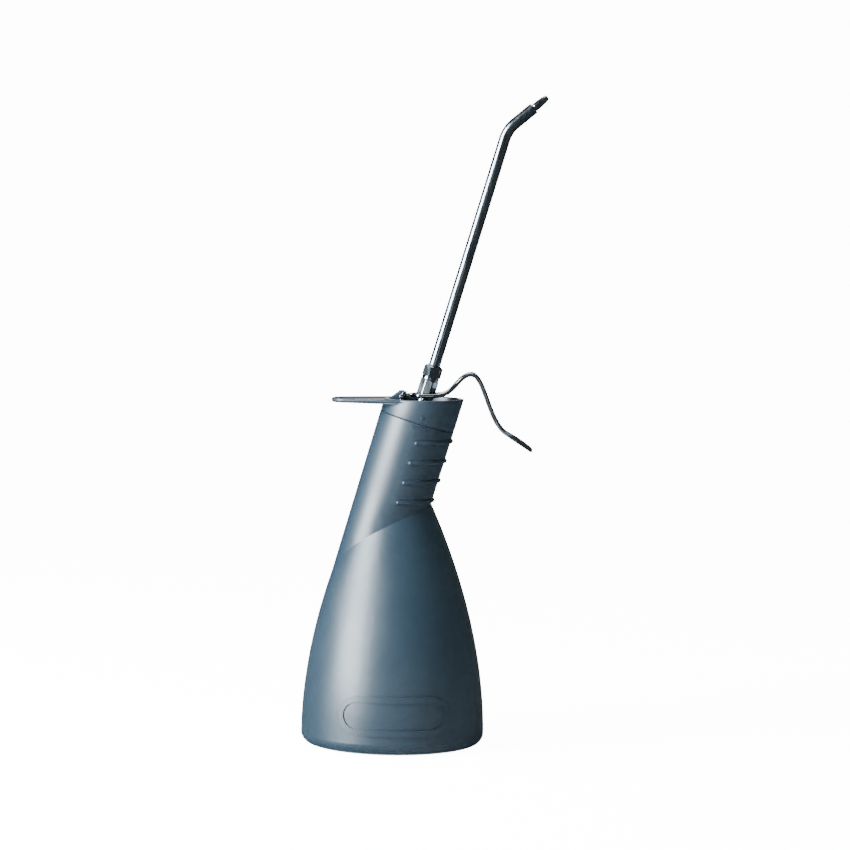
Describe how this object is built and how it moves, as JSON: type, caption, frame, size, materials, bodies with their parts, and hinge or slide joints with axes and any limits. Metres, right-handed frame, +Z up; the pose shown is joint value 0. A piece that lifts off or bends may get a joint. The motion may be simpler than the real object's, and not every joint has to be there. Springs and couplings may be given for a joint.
{
  "type": "thumb-pump oil can",
  "caption": "Oil can with a bell-shaped plastic reservoir, leaning neck, squeeze lever, steel pump head and a long angled spout.",
  "frame": {"origin": "centre of the standing face of the reservoir", "axes": "+Z up, +X the way the neck and the spout lean, -Y the side with the plain badge"},
  "size_m": [0.1182, 0.0917, 0.323],
  "materials": {
    "slate_plastic": "satin",
    "dark_steel": "polished",
    "lever_steel": "polished",
    "spring_steel": "satin",
    "valve_brass": "satin",
    "seal_rubber": "matte",
    "clear_tube": "satin"
  },
  "bodies": {
    "reservoir": {"container": "slate_plastic"},
    "closure": {"cap": "slate_plastic", "cap_seal": "seal_rubber", "pump_barrel": "valve_brass", "barrel_gasket": "seal_rubber", "barrel_locknut": "valve_brass", "rod_seal": "seal_rubber", "seal_retainer": "valve_brass", "intake_valve_body": "valve_brass", "intake_cage": "valve_brass", "suction_tube": "clear_tube", "strainer": "valve_brass", "pivot_pin": "dark_steel", "split_pin": "dark_steel", "return_spring": "spring_steel"},
    "trigger": {"lever": "lever_steel"},
    "plunger": {"pump_head": "dark_steel", "thrust_pins": "dark_steel", "piston_rod": "dark_steel", "piston": "valve_brass", "piston_seal": "seal_rubber", "delivery_spring": "spring_steel", "valve_stop": "valve_brass", "union_nut": "dark_steel"},
    "spout": {"spout_tube": "dark_steel", "ferrule": "valve_brass", "nozzle_tip": "dark_steel"},
    "intake_valve": {"intake_ball": "spring_steel"},
    "delivery_valve": {"delivery_ball": "spring_steel"}
  },
  "joints": [
    {"name": "cap_lift", "type": "slide", "parent": "reservoir", "child": "closure", "axis": [0.2807, 0, 0.9598], "range_m": [0, 0.165]},
    {"name": "lever_squeeze", "type": "hinge", "parent": "closure", "child": "trigger", "pos_m": [0.0023, 0, 0.1735], "axis": [0, 1, 0], "range_deg": [0, 12.5], "stiffness_Nm_per_rad": 0.13, "springref_deg": -25.21},
    {"name": "pump_stroke", "type": "slide", "parent": "closure", "child": "plunger", "axis": [-0.2807, 0, -0.9598], "range_m": [0, 0.00251], "stiffness_N_per_m": 60, "springref_m": -0.005, "deforming": ["return_spring"]},
    {"name": "spout_swivel", "type": "hinge", "parent": "plunger", "child": "spout", "pos_m": [0.01764, 0, 0.18679], "axis": [0.2807, 0, 0.9598], "continuous": true},
    {"name": "intake_ball_lift", "type": "slide", "parent": "closure", "child": "intake_valve", "axis": [0.2807, 0, 0.9598], "range_m": [0, 0.001]},
    {"name": "delivery_ball_lift", "type": "slide", "parent": "plunger", "child": "delivery_valve", "axis": [0.2807, 0, 0.9598], "range_m": [0, 0.0006], "stiffness_N_per_m": 60, "springref_m": -0.0004, "deforming": ["delivery_spring"]}
  ],
  "couplings": [
    {"joint": "pump_stroke", "follows": "lever_squeeze", "m_per_rad": 0.0113}
  ]
}
